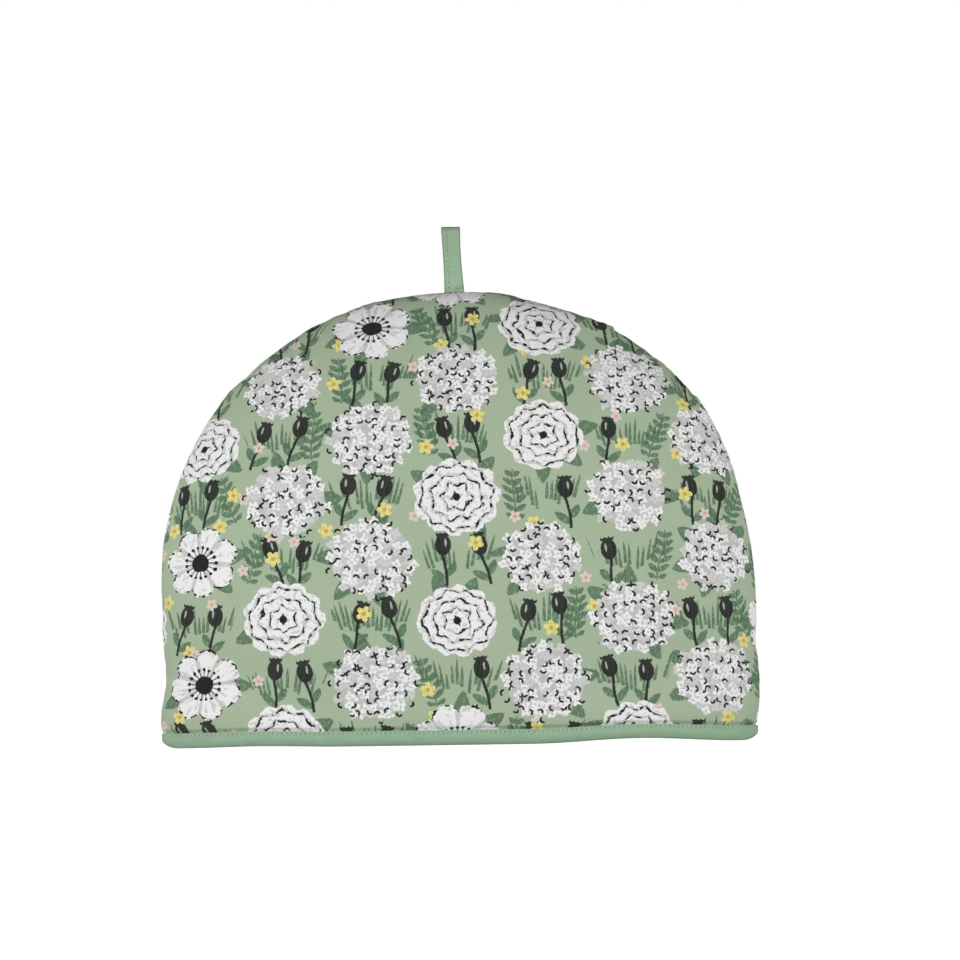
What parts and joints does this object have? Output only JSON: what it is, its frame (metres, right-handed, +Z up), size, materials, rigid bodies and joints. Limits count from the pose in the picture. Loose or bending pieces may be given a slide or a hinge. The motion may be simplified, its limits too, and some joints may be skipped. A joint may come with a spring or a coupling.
{
  "type": "tea cosy",
  "caption": "Padded half-moon tea cosy that stands open on its bound hem, with a printed floral cotton cover and a hanging loop at the top.",
  "frame": {"origin": "on the floor, under the middle of the hem", "axes": "+X along the cosy's width, +Y through its depth towards the back panel, +Z up; the front faces -Y"},
  "size_m": [0.3414, 0.1138, 0.2944],
  "materials": {
    "printed_cotton": "matt cotton twill, sage green with a white, charcoal and leaf-green floral print",
    "plain_tape": "matt plain green cotton, folded and edge-stitched"
  },
  "bodies": {
    "root": {"front_panel": "printed_cotton", "back_panel": "printed_cotton", "hem_binding": "plain_tape", "hanging_loop": "plain_tape"}
  },
  "joints": []
}
